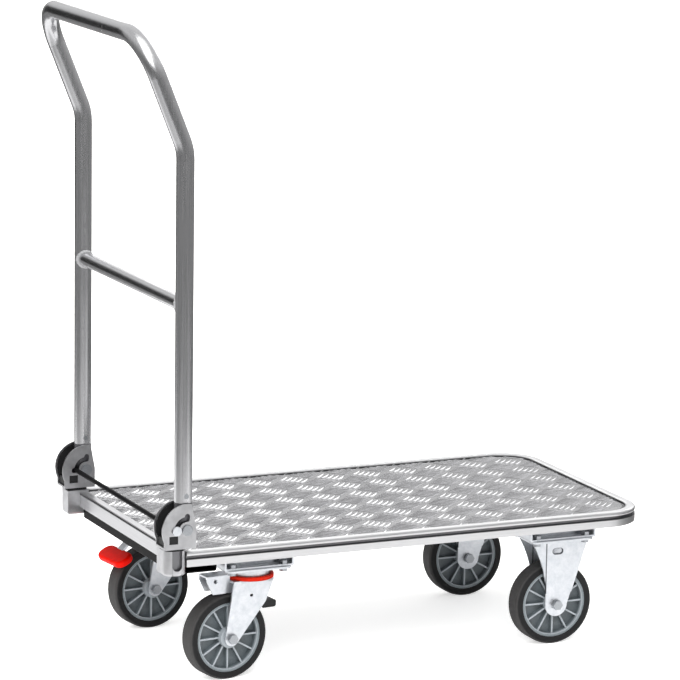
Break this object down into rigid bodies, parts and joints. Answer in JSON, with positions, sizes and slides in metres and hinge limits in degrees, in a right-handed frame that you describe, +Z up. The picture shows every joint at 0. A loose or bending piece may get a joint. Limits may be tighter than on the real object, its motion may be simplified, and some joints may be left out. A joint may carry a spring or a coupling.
{
  "type": "folding platform trolley",
  "caption": "Flat aluminium platform trolley with a tread-plate deck, a tubular push handle that folds onto the deck, braked swivel casters behind and fixed casters in front.",
  "frame": {"origin": "floor level under the middle of the bounding box", "axes": "+X to the platform's front, +Y to its left, +Z up"},
  "size_m": [0.823, 0.4476, 0.953],
  "materials": {
    "drawn_aluminium_tube": "satin drawn tube",
    "extruded_aluminium": "bright extruded profile",
    "tread_plate_aluminium": "bright rolled tread plate",
    "cast_aluminium": "tumbled casting",
    "zinc_plated_steel": "bright zinc plate",
    "steel_fastener": "zinc plated fasteners",
    "black_plastic": "moulded black",
    "black_coated_rod": "black coated rod",
    "black_coated_steel": "black coated tube",
    "red_plastic": "moulded red",
    "grey_rubber": "non-marking grey tread",
    "grey_hub_plastic": "moulded grey",
    "bearing_bush": "moulded bearing bush"
  },
  "bodies": {
    "platform": {"edge_frame": "extruded_aluminium", "rear_rail": "extruded_aluminium", "deck_plate": "tread_plate_aluminium", "hinge_screws": "steel_fastener", "rear_beam": "black_coated_steel", "rear_cross_member": "zinc_plated_steel", "front_cross_member": "zinc_plated_steel", "caster_bolts_rear": "steel_fastener", "caster_bolts_front": "steel_fastener", "corner_bracket_left": "cast_aluminium", "hinge_pad_left": "black_plastic", "hinge_bracket_left": "cast_aluminium", "hinge_trim_left": "black_plastic", "stop_block_left": "black_plastic", "pivot_bolt_left": "steel_fastener", "swivel_plate_left": "zinc_plated_steel", "king_pin_left": "steel_fastener", "fixed_fork_left": "zinc_plated_steel", "axle_front_left": "steel_fastener", "corner_bracket_right": "cast_aluminium", "hinge_pad_right": "black_plastic", "hinge_bracket_right": "cast_aluminium", "hinge_trim_right": "black_plastic", "stop_block_right": "black_plastic", "pivot_bolt_right": "steel_fastener", "swivel_plate_right": "zinc_plated_steel", "king_pin_right": "steel_fastener", "fixed_fork_right": "zinc_plated_steel", "axle_front_right": "steel_fastener"},
    "handle": {"push_tube": "drawn_aluminium_tube", "cross_brace": "drawn_aluminium_tube", "foot_rivets": "steel_fastener", "leg_foot_left": "cast_aluminium", "leg_foot_right": "cast_aluminium"},
    "lock_bar": {"release_rod": "black_coated_rod", "rod_caps": "steel_fastener"},
    "swivel_left": {"swivel_fork_left": "zinc_plated_steel", "dust_ring_left": "red_plastic", "fork_buffer_left": "black_plastic", "axle_rear_left": "steel_fastener", "brake_pin": "steel_fastener"},
    "wheel_rear_left": {"tyre_rear_left": "grey_rubber", "hub_rear_left": "grey_hub_plastic", "bush_rear_left": "bearing_bush"},
    "wheel_front_left": {"tyre_front_left": "grey_rubber", "hub_front_left": "grey_hub_plastic", "bush_front_left": "bearing_bush"},
    "swivel_right": {"swivel_fork_right": "zinc_plated_steel", "dust_ring_right": "red_plastic", "fork_buffer_right": "black_plastic", "axle_rear_right": "steel_fastener"},
    "wheel_rear_right": {"tyre_rear_right": "grey_rubber", "hub_rear_right": "grey_hub_plastic", "bush_rear_right": "bearing_bush"},
    "wheel_front_right": {"tyre_front_right": "grey_rubber", "hub_front_right": "grey_hub_plastic", "bush_front_right": "bearing_bush"},
    "brake": {"brake_lever": "zinc_plated_steel", "brake_pedal": "red_plastic"}
  },
  "joints": [
    {"name": "handle_fold", "type": "hinge", "parent": "platform", "child": "handle", "pos_m": [-0.3335, 0, 0.24], "axis": [0, 1, 0], "range_deg": [0, 90]},
    {"name": "lock_slide", "type": "slide", "parent": "handle", "child": "lock_bar", "axis": [-1, 0, 0], "range_m": [0, 0.004]},
    {"name": "swivel_left_turn", "type": "hinge", "parent": "platform", "child": "swivel_left", "pos_m": [-0.2095, 0.151, 0.0625], "axis": [0, 0, 1], "continuous": true},
    {"name": "wheel_rear_left_roll", "type": "hinge", "parent": "swivel_left", "child": "wheel_rear_left", "pos_m": [-0.2492, 0.14613, 0.0625], "axis": [-0.1219, 0.9925, 0], "continuous": true},
    {"name": "wheel_front_left_roll", "type": "hinge", "parent": "platform", "child": "wheel_front_left", "pos_m": [0.279, 0.151, 0.0625], "axis": [0, 1, 0], "continuous": true},
    {"name": "swivel_right_turn", "type": "hinge", "parent": "platform", "child": "swivel_right", "pos_m": [-0.2095, -0.151, 0.0625], "axis": [0, 0, 1], "continuous": true},
    {"name": "wheel_rear_right_roll", "type": "hinge", "parent": "swivel_right", "child": "wheel_rear_right", "pos_m": [-0.2492, -0.15587, 0.0625], "axis": [-0.1219, 0.9925, 0], "continuous": true},
    {"name": "wheel_front_right_roll", "type": "hinge", "parent": "platform", "child": "wheel_front_right", "pos_m": [0.279, -0.151, 0.0625], "axis": [0, 1, 0], "continuous": true},
    {"name": "brake_press", "type": "hinge", "parent": "swivel_left", "child": "brake", "pos_m": [-0.27104, 0.14344, 0.147], "axis": [0.1219, -0.9925, 0], "range_deg": [0, 5]}
  ]
}
